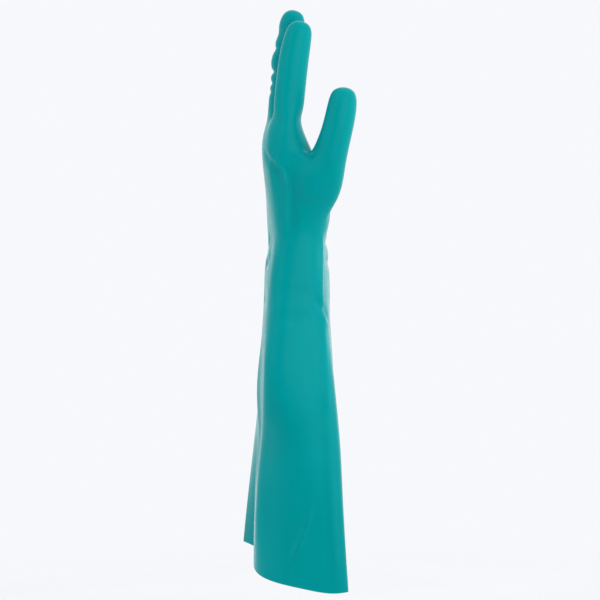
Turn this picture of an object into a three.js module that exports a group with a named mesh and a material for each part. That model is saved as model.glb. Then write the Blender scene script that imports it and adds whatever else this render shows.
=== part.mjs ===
import * as THREE from 'three';

// A long one-piece rubber glove for handling chemicals, made for a left hand, in the shape that it has when worn:
// a wide loose sleeve with two lengthwise creases and a slanting hem, a narrow wrist, a palm, four fingers and a thumb.
// It is one dipped shell, open at the mouth and hollow to the fingertips.
//
// Millimetres. +X points to the thumb's side, +Y out of the palm and +Z to the fingertips.
// The origin is the middle of the mouth, where the arm goes in.
//
// The outside is drawn as a coarse cage of four-sided faces, which is smoothed once by Catmull-Clark subdivision.
// The inside is the same surface moved inwards by the wall's thickness, and a rim joins the two at the hem.

// Driving dimensions
const WALL = 1.0;
const SLEEVE_LENGTH = 260; // from the mouth to the wrist
const PALM_LENGTH = 92; // from the wrist to the webs between the fingers
const MOUTH_WIDTH = 146; // from crease to crease, across the mouth
const MOUTH_BACK_DEPTH = 40; // how far the back's side stands out from the line between the creases
const MOUTH_PALM_DEPTH = 25; // the same for the palm's side
const MOUTH_ASIDE = 12.5; // how far the mouth hangs out to the little finger's side of the arm
const MOUTH_BEHIND = 0.5; // how far it hangs out to the back's side
const MOUTH_TWIST = 24.5; // degrees that the sleeve turns about the arm between wrist and mouth
const HEM_DROP_TO_PALM = 15.8; // degrees that the hem slopes down towards the palm's side
const HEM_DROP_TO_THUMB = 6.6; // degrees that it slopes down towards the thumb's side
const HEM_SAG = 6; // how much lower the hem hangs below the back's bulge
const WRIST_WIDTH = 82;
const WRIST_DEPTH = 21.1; // half of the wrist's thickness
const PALM_DEPTH = 19; // half of the palm's thickness
const FINGER_WIDTH = 21.5; // of the middle finger, as the next two
const FINGER_THICKNESS = 22;
const FINGER_LENGTH = 86;
const KNUCKLE_MARGIN = 0.6; // how far the palm stands out beyond the outer fingers
const FINGER_GAP = 2.4; // clear space between fingers at their webs
const THUMB_WIDTH = 22.5;
const THUMB_RISE = 115; // from the wrist up to the thumb's tip
const THUMB_ASIDE = 58; // from the arm's middle to the thumb's tip, across the palm
const THUMB_FORE = 27; // from the arm's middle to the thumb's tip, out of the palm
const THUMB_FACING = 60; // degrees from the thumb's side to the palm's that the thumb leans in

// The fingers, from the thumb's side. wide, thick and long are shares of the middle finger's outer sizes, fan is degrees
// towards the thumb, lean is degrees to the palm at the root, curl is what the tip adds to that, and arch is the root's
// place to the palm's side as a share of PALM_DEPTH.
const FINGER_ROWS = [
  { name: 'index', wide: 0.98, thick: 1.02, long: 0.885, fan: 0.8, lean: 4, curl: 5, arch: -0.23 },
  { name: 'middle', wide: 1, thick: 1, long: 1, fan: 0.3, lean: 5, curl: 3, arch: -0.25 },
  { name: 'ring', wide: 0.95, thick: 0.955, long: 0.895, fan: -1.5, lean: 6, curl: 5, arch: 0.05 },
  { name: 'little', wide: 0.86, thick: 0.865, long: 0.71, fan: -3, lean: 5, curl: 5, arch: 0.3 },
];

// Rings of the sleeve, from mouth to wrist. rise is a share of SLEEVE_LENGTH. widen, back, palm and twist go from 1
// at the mouth's sizes to 0 at the wrist's. crease sharpens the two edges, skew leans the back's bulge to the thumb's
// side and the palm's half as much the other way, and pinch presses the back in beside the far crease, as a share of it.
const SLEEVE_RINGS = [
  { rise: 0.0, widen: 1.0, back: 1.0, palm: 1.0, twist: 1.0, crease: 1.0, skew: 0.9, pinch: 0.18 },
  { rise: 0.09, widen: 0.92, back: 0.99, palm: 1.0, twist: 0.98, crease: 0.96, skew: 0.85, pinch: 0.18 },
  { rise: 0.2, widen: 0.79, back: 0.9, palm: 1.0, twist: 0.96, crease: 0.88, skew: 0.75, pinch: 0.17 },
  { rise: 0.3, widen: 0.69, back: 0.62, palm: 0.9, twist: 0.91, crease: 0.78, skew: 0.55, pinch: 0.16 },
  { rise: 0.4, widen: 0.58, back: 0.35, palm: 0.8, twist: 0.85, crease: 0.6, skew: 0.5, pinch: 0.12 },
  { rise: 0.51, widen: 0.48, back: 0.15, palm: 0.85, twist: 0.68, crease: 0.48, skew: 0.42, pinch: 0.04 },
  { rise: 0.61, widen: 0.4, back: 0.11, palm: 0.8, twist: 0.49, crease: 0.44, skew: 0.32, pinch: 0 },
  { rise: 0.7, widen: 0.32, back: 0.1, palm: 0.75, twist: 0.33, crease: 0.44, skew: 0.12, pinch: 0 },
  { rise: 0.8, widen: 0.22, back: 0.13, palm: 0.9, twist: 0.17, crease: 0.42, skew: 0, pinch: 0 },
  { rise: 0.89, widen: 0.11, back: 0.19, palm: 0.85, twist: 0.06, crease: 0.4, skew: 0, pinch: 0 },
  { rise: 0.955, widen: 0.035, back: 0.09, palm: 0.7, twist: 0.01, crease: 0.38, skew: 0, pinch: 0 },
];

// Rings of the hand, from the wrist to the webs. rise is a share of PALM_LENGTH. widen goes from 0 at the wrist's width
// to 1 at the knuckles', deepen from 0 at the wrist's depth to 1 at the palm's, and slim from 0 at that depth to 1 at
// the fingers' thickness. heel is how much fuller the palm's side is than the back's, and ball is the mound below the
// thumb as a share of PALM_DEPTH. fore moves the ring to the palm's side as a share of PALM_DEPTH, and arch is the share
// of the fingers' arch. square makes the section fuller, and spread moves its points under the fingers.
const PALM_RINGS = [
  { rise: 0, widen: 0, deepen: 0, slim: 0, heel: 0.07, ball: 0, fore: 0.03, arch: 0, square: 2.6, spread: 0 },
  { rise: 0.12, widen: 0.15, deepen: 0.2, slim: 0, heel: 0.22, ball: 0.12, fore: -0.07, arch: 0.1, square: 2.6, spread: 0.15 },
  { rise: 0.4, widen: 0.6, deepen: 0.8, slim: 0, heel: 0.15, ball: 0.5, fore: -0.2, arch: 0.5, square: 2.6, spread: 0.5 },
  { rise: 0.71, widen: 0.92, deepen: 1, slim: 0.2, heel: 0.05, ball: 0.25, fore: -0.41, arch: 0.85, square: 2.6, spread: 0.85 },
  { rise: 0.88, widen: 1, deepen: 1, slim: 0.5, heel: 0, ball: 0, fore: -0.46, arch: 1, square: 2.6, spread: 1 },
  { rise: 1, widen: 1, deepen: 1, slim: 0.9, heel: 0, ball: 0, fore: -0.46, arch: 1, square: 2.8, spread: 1 },
];

// Rings of a finger: along is a share of its length, girth of its width and thickness.
const FINGER_RINGS = [
  { along: 0.1, girth: 1.0 },
  { along: 0.3, girth: 0.99 },
  { along: 0.5, girth: 0.99 },
  { along: 0.7, girth: 0.99 },
  { along: 0.88, girth: 0.97 },
  { along: 0.97, girth: 0.79 },
];

// Rings of the thumb. rise, aside and fore place the middle as shares of THUMB_RISE, THUMB_ASIDE and THUMB_FORE. facing
// is degrees past THUMB_FACING, tilt is degrees that the ring leans that way, and high and broad are shares of
// THUMB_WIDTH, through the thumb and across it. The first two rings make the ball of the thumb.
const THUMB_RINGS = [
  { rise: 0.415, aside: 0.755, fore: 0.56, facing: 32, tilt: 57, high: 1.8, broad: 1.4 },
  { rise: 0.55, aside: 0.845, fore: 0.65, facing: 18, tilt: 42, high: 1.27, broad: 1.15 },
  { rise: 0.665, aside: 0.91, fore: 0.76, facing: 6, tilt: 26, high: 1.05, broad: 1.04 },
  { rise: 0.77, aside: 0.95, fore: 0.86, facing: 0, tilt: 14, high: 1.0, broad: 1.0 },
  { rise: 0.88, aside: 0.98, fore: 0.94, facing: 0, tilt: 8, high: 0.97, broad: 0.98 },
  { rise: 0.965, aside: 0.995, fore: 0.98, facing: 0, tilt: 5, high: 0.76, broad: 0.77 },
];

const TUBE_SIDES = 20; // points of a ring of the sleeve or palm: two edges and nine on each face
const FACE_POINTS = 9;
const LIMB_SIDES = 8; // points of a ring of a finger or the thumb
const PINCH_PLACE = -0.38; // middle of the pinch, from -1 at the far crease to 1 at the thumb's side
const PINCH_REACH = 0.34;
const BALL_PLACE = 0.62; // middle of the mound below the thumb, in the same way
const BALL_REACH = 0.42;
const SAG_PLACE = 0.38; // middle of the hem's sag, in the same way
const SAG_REACH = 0.3;
const SAG_FADE = 0.08; // how soon the sag fades above the hem, as a share of SLEEVE_LENGTH
const THUMB_ROWS = [1, 2, 3]; // rings of the hand that hold the thumb's root
const TIP_OVERSHOOT = 0.03; // smoothing draws a fingertip in by about this share of its length
const SMOOTHING_STEPS = 1;

const { degToRad, lerp } = THREE.MathUtils;

// Smoothing draws a ring of few points in, so its points are first moved out by this factor.
const cageFactor = (sides) => 3 / (2 + Math.cos((2 * Math.PI) / sides));

const FINGERS = FINGER_ROWS.map((row) => ({
  ...row,
  width: FINGER_WIDTH * row.wide,
  thickness: FINGER_THICKNESS * row.thick,
  length: FINGER_LENGTH * row.long,
}));

// Places of the fingers along the knuckles, worked out from their widths and the gap between them.
const knuckleSpan = FINGERS.reduce((sum, finger) => sum + finger.width, 0) + (FINGERS.length - 1) * FINGER_GAP;
const knuckleHalfWidth = knuckleSpan / 2 + KNUCKLE_MARGIN;
const fingerDepth = FINGERS.reduce((sum, finger) => sum + finger.thickness, 0) / FINGERS.length / 2;
const fingerEdges = [knuckleSpan / 2];
for (const finger of FINGERS) {
  const gap = finger === FINGERS.at(-1) ? 0 : FINGER_GAP;
  fingerEdges.push(fingerEdges.at(-1) - finger.width - gap);
}
const fingerCentres = FINGERS.map((finger, i) => fingerEdges[i] - finger.width / 2);
const sharedEdges = fingerEdges.map((edge, i) => (i > 0 && i < FINGERS.length ? edge + FINGER_GAP / 2 : edge));

// The fingers' arch at a place across the palm, in shares of PALM_DEPTH.
function archAt(x) {
  let far = fingerCentres.findIndex((centre) => centre < x);
  if (far < 0) far = FINGERS.length - 1;
  far = Math.max(1, far);
  const share = (fingerCentres[far - 1] - x) / (fingerCentres[far - 1] - fingerCentres[far]);
  return lerp(FINGERS[far - 1].arch, FINGERS[far].arch, THREE.MathUtils.clamp(share, 0, 1));
}

const cage = { points: [], quads: [] };

function addPoint(point) {
  cage.points.push(point);
  return cage.points.length - 1;
}

// Joins two rings of the same number of points, the second one beyond the first, with quads that face outwards.
function joinRings(near, far, leaveOut = () => false) {
  for (let i = 0; i < near.length; i++) {
    const next = (i + 1) % near.length;
    if (!leaveOut(i)) cage.quads.push([near[i], near[next], far[next], far[i]]);
  }
}

// How far along the section each point of a tube's ring stands: 1 at the thumb's side, -1 at the far side.
function faceShares(spread) {
  const shares = [];
  for (let i = 0; i < TUBE_SIDES; i++) {
    const round = Math.cos((2 * Math.PI * i) / TUBE_SIDES);
    const step = i <= FACE_POINTS ? i - 1 : TUBE_SIDES - 1 - i; // counts finger edges and middles from the thumb's side
    const isEdge = i === 0 || i === TUBE_SIDES / 2;
    const place = step % 2 ? fingerCentres[(step - 1) / 2] : sharedEdges[step / 2];
    const even = isEdge ? round : place / knuckleHalfWidth;
    shares.push(lerp(round, even, spread));
  }
  return shares;
}

// 1 at a place across the section, and less the further from it, over about its reach.
const nearPlace = (share, place, reach) => Math.exp(-(((share - place) / reach) ** 2));

// The section of a tube: returns each point's place across and through it, before it is turned and moved.
function tubeSection({ halfWidth, backDepth, palmDepth, square, crease, skew, pinch, ball, spread }) {
  const factor = cageFactor(TUBE_SIDES);
  return faceShares(spread).map((share, i) => {
    const toPalm = i > 0 && i < TUBE_SIDES / 2;
    const toBack = i > TUBE_SIDES / 2;
    const fullness = Math.max(0, 1 - Math.abs(share) ** square) ** crease;
    const pinched = pinch * nearPlace(share, PINCH_PLACE, PINCH_REACH);
    let through = 0;
    if (toPalm) through = palmDepth * fullness * (1 - (skew * share) / 2) + ball * nearPlace(share, BALL_PLACE, BALL_REACH);
    if (toBack) through = -backDepth * (fullness * (1 + skew * share) - pinched);
    return new THREE.Vector2(share * halfWidth * factor, through * factor);
  });
}

// The hem's plane, and how much of its slope is left at a height above the mouth.
function hemSlope(x, y, rise) {
  const drop = x * Math.tan(degToRad(HEM_DROP_TO_THUMB)) + y * Math.tan(degToRad(HEM_DROP_TO_PALM));
  return -drop * (1 - rise);
}

// How much lower the hem's sag sets a point of the back's side.
function hemSag(share, rise) {
  return HEM_SAG * nearPlace(share, SAG_PLACE, SAG_REACH) * Math.exp(-rise / SAG_FADE);
}

function sleeveRing(row) {
  const shares = faceShares(0);
  const section = tubeSection({
    halfWidth: lerp(WRIST_WIDTH, MOUTH_WIDTH, row.widen) / 2,
    backDepth: lerp(WRIST_DEPTH, MOUTH_BACK_DEPTH, row.back),
    palmDepth: lerp(WRIST_DEPTH, MOUTH_PALM_DEPTH, row.palm),
    square: 2,
    crease: row.crease,
    skew: row.skew,
    pinch: row.pinch,
    ball: 0,
    spread: 0,
  });
  const turn = degToRad(MOUTH_TWIST * row.twist);
  const shift = new THREE.Vector2(-MOUTH_ASIDE, -MOUTH_BEHIND).multiplyScalar(row.widen);
  return section.map((point, i) => {
    point.rotateAround(new THREE.Vector2(), turn).add(shift);
    const sag = i > TUBE_SIDES / 2 ? hemSag(shares[i], row.rise) : 0;
    const z = SLEEVE_LENGTH * row.rise + hemSlope(point.x, point.y, row.rise) - sag;
    return addPoint(new THREE.Vector3(point.x, point.y, z));
  });
}

function palmRing(row) {
  const depth = lerp(lerp(WRIST_DEPTH, PALM_DEPTH, row.deepen), fingerDepth, row.slim);
  const section = tubeSection({
    halfWidth: lerp(WRIST_WIDTH / 2, knuckleHalfWidth, row.widen),
    backDepth: depth,
    palmDepth: depth * (1 + row.heel),
    square: row.square,
    crease: 1 / row.square,
    skew: 0,
    pinch: 0,
    ball: PALM_DEPTH * row.ball,
    spread: row.spread,
  });
  const z = SLEEVE_LENGTH + PALM_LENGTH * row.rise;
  return section.map((point) => {
    const fore = PALM_DEPTH * (row.fore + row.arch * archAt(point.x));
    return addPoint(new THREE.Vector3(point.x, point.y + fore, z));
  });
}

// One ring of a finger or the thumb. first and second are the directions that its first and third points face,
// and girths are its widths along them.
function limbRing(centre, first, second, girths) {
  const factor = cageFactor(LIMB_SIDES) / 2;
  const ring = [];
  for (let i = 0; i < LIMB_SIDES; i++) {
    const angle = (2 * Math.PI * i) / LIMB_SIDES;
    const point = centre
      .clone()
      .addScaledVector(first, Math.cos(angle) * factor * girths[0])
      .addScaledVector(second, Math.sin(angle) * factor * girths[1]);
    ring.push(addPoint(point));
  }
  return ring;
}

// Closes a ring of eight points with four quads round one middle point.
function closeTip(ring, tip) {
  const middle = addPoint(tip);
  for (let i = 0; i < ring.length; i += 2) {
    cage.quads.push([middle, ring[i], ring[i + 1], ring[(i + 2) % ring.length]]);
  }
}

// A direction that points to the fingertips, fanned towards the thumb and leaning to the palm, in degrees.
function fingerWay(fan, lean) {
  return new THREE.Vector3(Math.tan(degToRad(fan)), Math.tan(degToRad(lean)), 1).normalize();
}

// A finger's middle line, which leaves its root in one direction and ends in another.
function fingerAxis(finger, i) {
  const fore = PALM_DEPTH * (PALM_RINGS.at(-1).fore + finger.arch);
  const root = new THREE.Vector3(fingerCentres[i], fore, SLEEVE_LENGTH + PALM_LENGTH);
  const middle = root.clone().addScaledVector(fingerWay(finger.fan, finger.lean), finger.length / 2);
  const tip = middle.clone().addScaledVector(fingerWay(finger.fan, finger.lean + finger.curl), finger.length / 2);
  return new THREE.QuadraticBezierCurve3(root, middle, tip);
}

// A finger grows from eight points: its side's edge or web, three on the palm, the other side's, and three on the back.
function addFinger(finger, i, topRing, webs) {
  const palmFirst = 1 + 2 * i;
  const backLast = TUBE_SIDES - 1 - 2 * i;
  const thumbSide = i === 0 ? topRing[0] : webs[i - 1];
  const farSide = i === FINGERS.length - 1 ? topRing[TUBE_SIDES / 2] : webs[i];
  const palmPoints = [0, 1, 2].map((step) => topRing[palmFirst + step]);
  const backPoints = [2, 1, 0].map((step) => topRing[backLast - step]);
  const axis = fingerAxis(finger, i);
  let last = [thumbSide, ...palmPoints, farSide, ...backPoints];
  for (const row of FINGER_RINGS) {
    const along = axis.getTangentAt(row.along);
    const second = new THREE.Vector3().crossVectors(along, new THREE.Vector3(1, 0, 0)).normalize();
    const first = new THREE.Vector3().crossVectors(second, along);
    const girths = [finger.width * row.girth, finger.thickness * row.girth];
    const ring = limbRing(axis.getPointAt(row.along), first, second, girths);
    joinRings(last, ring);
    last = ring;
  }
  const overshoot = finger.length * TIP_OVERSHOOT;
  closeTip(last, axis.getPoint(1).addScaledVector(axis.getTangent(1), overshoot));
}

// A place of the thumb's middle line, from its shares of rise, aside and fore.
function thumbPlace({ rise, aside, fore }) {
  return new THREE.Vector3(THUMB_ASIDE * aside, THUMB_FORE * fore, SLEEVE_LENGTH + THUMB_RISE * rise);
}

// The thumb grows from the eight points round a patch of four quads at the palm's near edge.
function addThumb(handRings) {
  const [low, middle, high] = THUMB_ROWS.map((row) => handRings[row]);
  const up = new THREE.Vector3(0, 0, 1);
  let last = [high[1], high[2], middle[2], low[2], low[1], low[0], middle[0], high[0]];
  for (const row of THUMB_RINGS) {
    const tilt = degToRad(row.tilt);
    const outWay = new THREE.Vector3(1, 0, 0).applyAxisAngle(up, degToRad(THUMB_FACING + row.facing));
    const palmWay = new THREE.Vector3().crossVectors(up, outWay);
    const inWay = up.clone().multiplyScalar(Math.sin(tilt)).addScaledVector(outWay, -Math.cos(tilt));
    const ring = limbRing(thumbPlace(row), inWay, palmWay, [THUMB_WIDTH * row.high, THUMB_WIDTH * row.broad]);
    joinRings(ring, last);
    last = ring;
  }
  const tip = thumbPlace({ rise: 1 + TIP_OVERSHOOT / 2, aside: 1, fore: 1 });
  closeTip([...last].reverse(), tip);
}

function buildCage() {
  const sleeveRings = SLEEVE_RINGS.map(sleeveRing);
  const handRings = PALM_RINGS.map(palmRing);
  const rings = [...sleeveRings, ...handRings];
  const thumbStart = sleeveRings.length + THUMB_ROWS[0];
  for (let i = 0; i + 1 < rings.length; i++) {
    const holdsThumb = i === thumbStart || i === thumbStart + 1;
    joinRings(rings[i], rings[i + 1], (side) => holdsThumb && side < 2);
  }
  const topRing = handRings.at(-1);
  const webs = FINGERS.slice(1).map((finger, i) => {
    const palmSide = cage.points[topRing[3 + 2 * i]];
    const backSide = cage.points[topRing[TUBE_SIDES - 3 - 2 * i]];
    return addPoint(palmSide.clone().lerp(backSide, 0.5));
  });
  FINGERS.forEach((finger, i) => addFinger(finger, i, topRing, webs));
  addThumb(handRings);
}

const edgeKey = (a, b) => (a < b ? `${a}_${b}` : `${b}_${a}`);
const average = (points) => points.reduce((sum, p) => sum.add(p), new THREE.Vector3()).divideScalar(points.length);

// One step of Catmull-Clark subdivision of an open mesh of quads.
function subdivide({ points, quads }) {
  const faceCentres = quads.map((quad) => average(quad.map((i) => points[i])));
  const edges = new Map();
  quads.forEach((quad, face) => {
    quad.forEach((a, corner) => {
      const b = quad[(corner + 1) % 4];
      const key = edgeKey(a, b);
      if (!edges.has(key)) edges.set(key, { ends: [a, b], faces: [] });
      edges.get(key).faces.push(face);
    });
  });
  const around = points.map(() => ({ faces: [], edges: [], rim: [] }));
  quads.forEach((quad, face) => quad.forEach((i) => around[i].faces.push(face)));
  const smoothed = [];
  const add = (point) => smoothed.push(point) - 1;
  for (const edge of edges.values()) {
    const ends = edge.ends.map((i) => points[i]);
    edge.middle = average(ends);
    const isRim = edge.faces.length === 1;
    edge.index = add(isRim ? edge.middle : average([...ends, ...edge.faces.map((face) => faceCentres[face])]));
    for (const i of edge.ends) (isRim ? around[i].rim : around[i].edges).push(edge);
  }
  const centreIndices = faceCentres.map(add);
  const pointIndices = points.map((point, i) => {
    const near = around[i];
    if (near.rim.length) return add(average([point.clone(), average(near.rim.map((edge) => edge.middle))]));
    const count = near.faces.length;
    const faces = average(near.faces.map((face) => faceCentres[face]));
    const middles = average(near.edges.map((edge) => edge.middle));
    return add(faces.addScaledVector(middles, 2).addScaledVector(point, count - 3).divideScalar(count));
  });
  const pieces = quads.flatMap((quad, face) =>
    quad.map((i, corner) => [
      pointIndices[i],
      edges.get(edgeKey(i, quad[(corner + 1) % 4])).index,
      centreIndices[face],
      edges.get(edgeKey(quad[(corner + 3) % 4], i)).index,
    ]),
  );
  return { points: smoothed, quads: pieces };
}

// The mesh's triangles, each quad cut along its shorter diagonal.
function trianglesOf({ points, quads }) {
  return quads.flatMap(([a, b, c, d]) => {
    const alongFirst = points[a].distanceTo(points[c]) <= points[b].distanceTo(points[d]);
    return alongFirst ? [[a, b, c], [a, c, d]] : [[a, b, d], [b, c, d]];
  });
}

// The surface moved inwards by the wall's thickness, as measured square to its faces.
function innerPoints(points, triangles) {
  const sums = points.map(() => new THREE.Vector3());
  const faceNormals = triangles.map((triangle) => {
    const [a, b, c] = triangle.map((i) => points[i]);
    const normal = new THREE.Vector3().crossVectors(b.clone().sub(a), c.clone().sub(a)).normalize();
    const corners = [[a, b, c], [b, c, a], [c, a, b]];
    triangle.forEach((i, k) => {
      const [at, next, last] = corners[k];
      const angle = next.clone().sub(at).angleTo(last.clone().sub(at));
      sums[i].addScaledVector(normal, angle);
    });
    return normal;
  });
  const normals = sums.map((sum) => sum.normalize());
  const steepest = points.map(() => 1);
  triangles.forEach((triangle, face) => {
    for (const i of triangle) steepest[i] = Math.min(steepest[i], normals[i].dot(faceNormals[face]));
  });
  return points.map((point, i) => point.clone().addScaledVector(normals[i], -WALL / Math.max(0.8, steepest[i])));
}

// Joins the outer and inner surfaces into one closed shell, with a rim at the hem.
function shellGeometry(surface) {
  const triangles = trianglesOf(surface);
  const inner = innerPoints(surface.points, triangles);
  const count = surface.points.length;
  const used = new Map();
  for (const [a, b, c] of triangles) {
    for (const [from, to] of [[a, b], [b, c], [c, a]]) used.set(`${from}_${to}`, [from, to]);
  }
  const rim = [...used.values()].filter(([from, to]) => !used.has(`${to}_${from}`));
  const indices = [
    ...triangles.flat(),
    ...triangles.flatMap(([a, b, c]) => [a + count, c + count, b + count]),
    ...rim.flatMap(([from, to]) => [to, from, from + count, to, from + count, to + count]),
  ];
  const positions = [...surface.points, ...inner].flatMap((point) => point.toArray());
  const geometry = new THREE.BufferGeometry();
  geometry.setAttribute('position', new THREE.Float32BufferAttribute(positions, 3));
  geometry.setIndex(indices);
  geometry.computeVertexNormals();
  return geometry;
}

buildCage();
let surface = cage;
for (let step = 0; step < SMOOTHING_STEPS; step++) surface = subdivide(surface);

const nitrile = new THREE.MeshStandardMaterial({ color: 0x008f8f, roughness: 0.45, metalness: 0 });
const shell = new THREE.Mesh(shellGeometry(surface), nitrile);
shell.name = 'glove_shell';

const glove = new THREE.Group();
glove.name = 'chemical_resistant_glove';
glove.add(shell);

export default glove;
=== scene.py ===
"""A long one-piece rubber glove for handling chemicals, for the left hand, in the shape that it has when worn.

Tables and sizes are in millimetres and degrees, and meshes in metres. +X points to the thumb's side, +Y out of the
palm and +Z to the fingertips. The origin is in the middle of the open mouth.
"""

import logging
import math
from dataclasses import dataclass, field
from enum import Enum

import bmesh
import bpy
import numpy as np
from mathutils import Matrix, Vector
from mathutils.bvhtree import BVHTree


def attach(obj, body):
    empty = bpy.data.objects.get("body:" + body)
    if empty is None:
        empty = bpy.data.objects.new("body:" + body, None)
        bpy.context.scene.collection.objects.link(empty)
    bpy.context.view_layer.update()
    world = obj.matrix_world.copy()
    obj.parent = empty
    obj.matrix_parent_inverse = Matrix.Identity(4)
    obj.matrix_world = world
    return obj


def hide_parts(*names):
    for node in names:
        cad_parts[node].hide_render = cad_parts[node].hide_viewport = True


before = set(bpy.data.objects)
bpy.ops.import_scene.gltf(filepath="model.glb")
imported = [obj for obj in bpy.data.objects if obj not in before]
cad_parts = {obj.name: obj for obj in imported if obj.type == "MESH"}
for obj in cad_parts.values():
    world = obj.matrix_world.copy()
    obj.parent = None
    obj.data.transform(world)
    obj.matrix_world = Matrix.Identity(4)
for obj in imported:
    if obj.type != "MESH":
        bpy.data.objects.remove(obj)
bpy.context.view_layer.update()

log = logging.getLogger("glove")

MM = 0.001
TUBE_SIDES = 20  # points of a ring of the sleeve or palm: two edges and nine on each face
FACE_POINTS = 9
LIMB_SIDES = 8  # points of a ring of a finger or the thumb
MIDDLE_PLACE = LIMB_SIDES  # place of the point in the middle of a limb's end
PLACE_LAYER = "place"
UP = Vector((0, 0, 1))
FOLD_REACH = 1.6  # how far a fold is felt, in its widths
NARROW_FOLD = 4.5  # folds narrower than this get a finer mesh
FOLD_TRACE = 0.03  # share of a fold's height, above which a face counts as near it
MERGE_DISTANCE = 0.001
SMOOTH_ANGLE = 50  # up to this angle between two faces the shading runs on
NOISE_SPAN = (0.3, 0.7)  # where nearly all of a noise's values lie
SENSOR_WIDTH = 36
CLIP_RANGE = (0.05, 50.0)  # nearest and furthest that the camera sees, in metres
FLOOR_SIDES = 96

Colour = tuple[float, float, float]
Socket = bpy.types.NodeSocket


class WallLayer(Enum):
    """The layers of the rubber wall, which are also its material slots."""

    OUTSIDE = 0
    INSIDE = 1
    CUT_EDGE = 2


def lerp(start: float, end: float, share: float) -> float:
    """Returns the value at a share of the way from start to end."""
    return start + (end - start) * share


def cage_factor(sides: int) -> float:
    """Returns how far out the points of a ring stand, so that smoothing leaves the ring its size."""
    return 3 / (2 + math.cos(math.tau / sides))


def near_place(share: float, place: float, reach: float) -> float:
    """Returns 1 at a place across the section, and less the further from it, over about its reach."""
    return math.exp(-(((share - place) / reach) ** 2))


@dataclass(frozen=True)
class Bump:
    """A swelling or dent across a section: its middle, from -1 at the far side to 1 at the thumb's, and its reach."""

    place: float
    reach: float

    def at(self, share: float) -> float:
        """Returns its height at a place across the section, 1 in its middle."""
        return near_place(share, self.place, self.reach)


@dataclass(frozen=True)
class FingerRow:
    """A finger: shares of the middle finger's outer sizes, its directions in degrees, and its share of the arch."""

    name: str
    wide: float
    thick: float
    long: float
    fan: float
    lean: float
    curl: float
    arch: float


@dataclass(frozen=True)
class SleeveRow:
    """A ring of the sleeve: its share of the length, shares of the way from the wrist to the mouth, and its shape."""

    rise: float
    widen: float
    back: float
    palm: float
    twist: float
    crease: float
    near: float
    skew: float
    pinch: float
    swell: float
    flat: float
    tilt: float


@dataclass(frozen=True)
class HandRow:
    """A ring of the hand, from the wrist to the webs, as shares of the palm's length, width and depth."""

    rise: float
    widen: float
    deepen: float
    slim: float
    heel: float
    ball: float
    fore: float
    arch: float
    square: float
    flat: float
    tilt: float
    spread: float


@dataclass(frozen=True)
class LimbRow:
    """A ring of a finger: shares of its length, width and thickness, and of the thickness that it stands forward."""

    along: float
    broad: float
    deep: float
    fore: float


@dataclass(frozen=True)
class ThumbRow:
    """A ring of the thumb: shares that place its middle, the way that it faces and leans, and shares of its width."""

    rise: float
    aside: float
    fore: float
    facing: float
    tilt: float
    high: float
    broad: float


@dataclass(frozen=True)
class Section:
    """The section of a tube before it is turned and moved: sizes in millimetres, and shares that shape its faces."""

    half_width: float
    back_depth: float
    palm_depth: float
    square: float = 2
    flat: float = 2
    tilt: float = 0
    crease: float = 0.5
    near: float = 0.5
    skew: float = 0
    pinch: float = 0
    swell: float = 0
    ball: float = 0
    pinch_bump: Bump = Bump(-0.5, 0.27)
    swell_bump: Bump = Bump(0.3, 0.25)
    ball_bump: Bump = Bump(0.62, 0.42)

    def points(self, shares: list[float]) -> list[tuple[float, float]]:
        """Works out the section's points.

        Args:
            shares: how far along the section each point stands, from 1 at the thumb's side to -1 at the far side.

        Returns:
            Each point's place across and through the section.
        """
        factor = cage_factor(TUBE_SIDES)
        found = []
        for i, share in enumerate(shares):
            sharpness = self.near if share > 0 else self.crease
            square = self.flat if share > 0 else self.square
            fullness = max(0, 1 - abs(share) ** square) ** sharpness
            through = 0.0
            if 0 < i < TUBE_SIDES // 2:
                face = self.palm_depth * fullness * (1 - self.tilt * share)
                through = face + self.ball * self.ball_bump.at(share)
            if i > TUBE_SIDES // 2:
                relief = self.swell * self.swell_bump.at(share) - self.pinch * self.pinch_bump.at(share)
                through = -self.back_depth * (fullness * (1 + self.skew * share) + relief)
            found.append((share * self.half_width * factor, through * factor))
        return found


def even_shares() -> list[float]:
    """Returns how far along a plain section each of its points stands."""
    return [math.cos(math.tau * i / TUBE_SIDES) for i in range(TUBE_SIDES)]


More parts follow.
